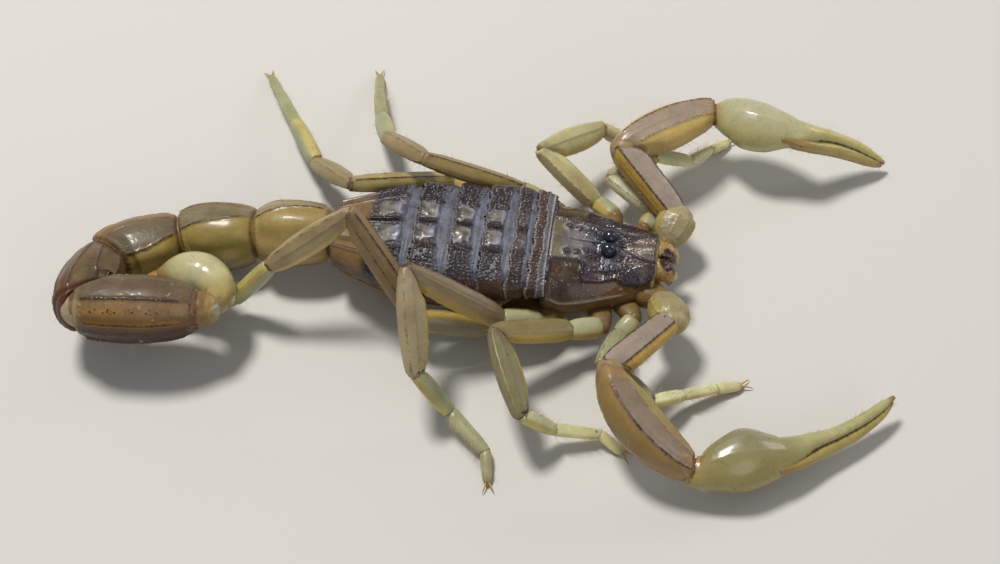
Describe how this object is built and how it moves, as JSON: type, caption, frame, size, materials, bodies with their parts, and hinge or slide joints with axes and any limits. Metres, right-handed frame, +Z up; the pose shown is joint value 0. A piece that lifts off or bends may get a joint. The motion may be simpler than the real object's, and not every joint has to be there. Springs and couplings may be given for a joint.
{
  "type": "desert scorpion",
  "caption": "Life-size still model of a slender-clawed desert scorpion, standing low with legs spread, pincers held forward and tail curled flat at its side.",
  "frame": {"origin": "middle of the figure's bounding box in plan, at the level of its feet", "axes": "+X runs to the head, +Y to the animal's left, +Z up"},
  "size_m": [0.0462, 0.0284, 0.0084],
  "materials": {
    "shield": "dark brown-black granular cuticle with a satin gloss",
    "eye": "polished black lens",
    "trunk_plates": "grey-black granular plates, pale beside the keels, blue-grey smooth membrane between",
    "tail_plates": "amber-olive cuticle, greyish-mauve on the upper faces, dark granular keels",
    "sting_bulb": "smooth glossy pale yellow-green cuticle",
    "sting_tip": "smooth dark brown cuticle",
    "jaws": "amber cuticle with a dark net pattern",
    "underside": "smooth honey-coloured cuticle",
    "palms": "smooth glossy pale greenish-yellow cuticle",
    "fingers": "yellow cuticle, reddish-brown at the base, dark tooth rows",
    "arm_plates": "greyish-mauve upper faces with dark granular keels and yellow-orange flanks",
    "leg_plates": "tan to yellow cuticle, paler and more translucent towards the feet"
  },
  "bodies": {
    "root": {"carapace": "shield", "chelicera_left": "jaws", "chelicera_right": "jaws", "coxae": "underside", "eye_left": "eye", "eye_right": "eye", "leg_L1_femur": "leg_plates", "leg_L1_foot": "leg_plates", "leg_L1_patella": "leg_plates", "leg_L2_femur": "leg_plates", "leg_L2_foot": "leg_plates", "leg_L2_patella": "leg_plates", "leg_L3_femur": "leg_plates", "leg_L3_foot": "leg_plates", "leg_L3_patella": "leg_plates", "leg_L4_femur": "leg_plates", "leg_L4_foot": "leg_plates", "leg_L4_patella": "leg_plates", "leg_R1_femur": "leg_plates", "leg_R1_foot": "leg_plates", "leg_R1_patella": "leg_plates", "leg_R2_femur": "leg_plates", "leg_R2_foot": "leg_plates", "leg_R2_patella": "leg_plates", "leg_R3_femur": "leg_plates", "leg_R3_foot": "leg_plates", "leg_R3_patella": "leg_plates", "leg_R4_femur": "leg_plates", "leg_R4_foot": "leg_plates", "leg_R4_patella": "leg_plates", "mesosoma_1": "trunk_plates", "mesosoma_2": "trunk_plates", "mesosoma_3": "trunk_plates", "mesosoma_4": "trunk_plates", "mesosoma_5": "trunk_plates", "mesosoma_6": "trunk_plates", "mesosoma_7": "trunk_plates", "metasoma_1": "tail_plates", "metasoma_2": "tail_plates", "metasoma_3": "tail_plates", "metasoma_4": "tail_plates", "metasoma_5": "tail_plates", "pectine_left": "underside", "pectine_right": "underside", "pedipalp_left_femur": "arm_plates", "pedipalp_left_finger": "fingers", "pedipalp_left_palm": "palms", "pedipalp_left_patella": "arm_plates", "pedipalp_left_trochanter": "arm_plates", "pedipalp_right_femur": "arm_plates", "pedipalp_right_finger": "fingers", "pedipalp_right_palm": "palms", "pedipalp_right_patella": "arm_plates", "pedipalp_right_trochanter": "arm_plates", "telson_bulb": "sting_bulb", "telson_sting": "sting_tip"}
  },
  "joints": []
}
